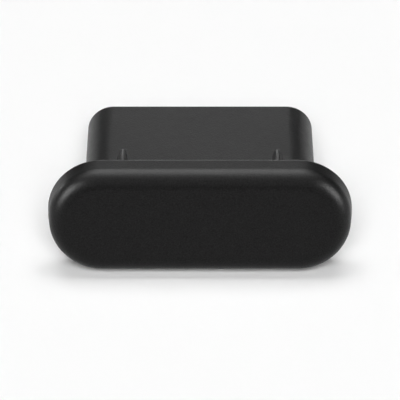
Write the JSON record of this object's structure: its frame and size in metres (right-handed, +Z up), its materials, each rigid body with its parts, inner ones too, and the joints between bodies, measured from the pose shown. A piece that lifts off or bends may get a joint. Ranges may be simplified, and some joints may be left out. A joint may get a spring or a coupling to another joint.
{
  "type": "usb-c dust plug",
  "caption": "One-piece moulded dust plug for a USB-C port: oval grip head with a soft front edge, tapered oval insert with holding ribs and a pocket for the port's tongue.",
  "frame": {"origin": "centre of the bounding box, on the surface that the plug lies on", "axes": "+X across the plug along its longest side, +Y level and towards the insert's tip, +Z up. The plug lies as it comes to rest, leaning back 9.0 degrees on the head's lower back edge and the tip, so the insert's axis points that much below +Y."},
  "size_m": [0.0108, 0.0072, 0.0041],
  "materials": {
    "black_elastomer": "fine matte moulded"
  },
  "bodies": {
    "root": {"dust_plug": "black_elastomer"}
  },
  "joints": []
}
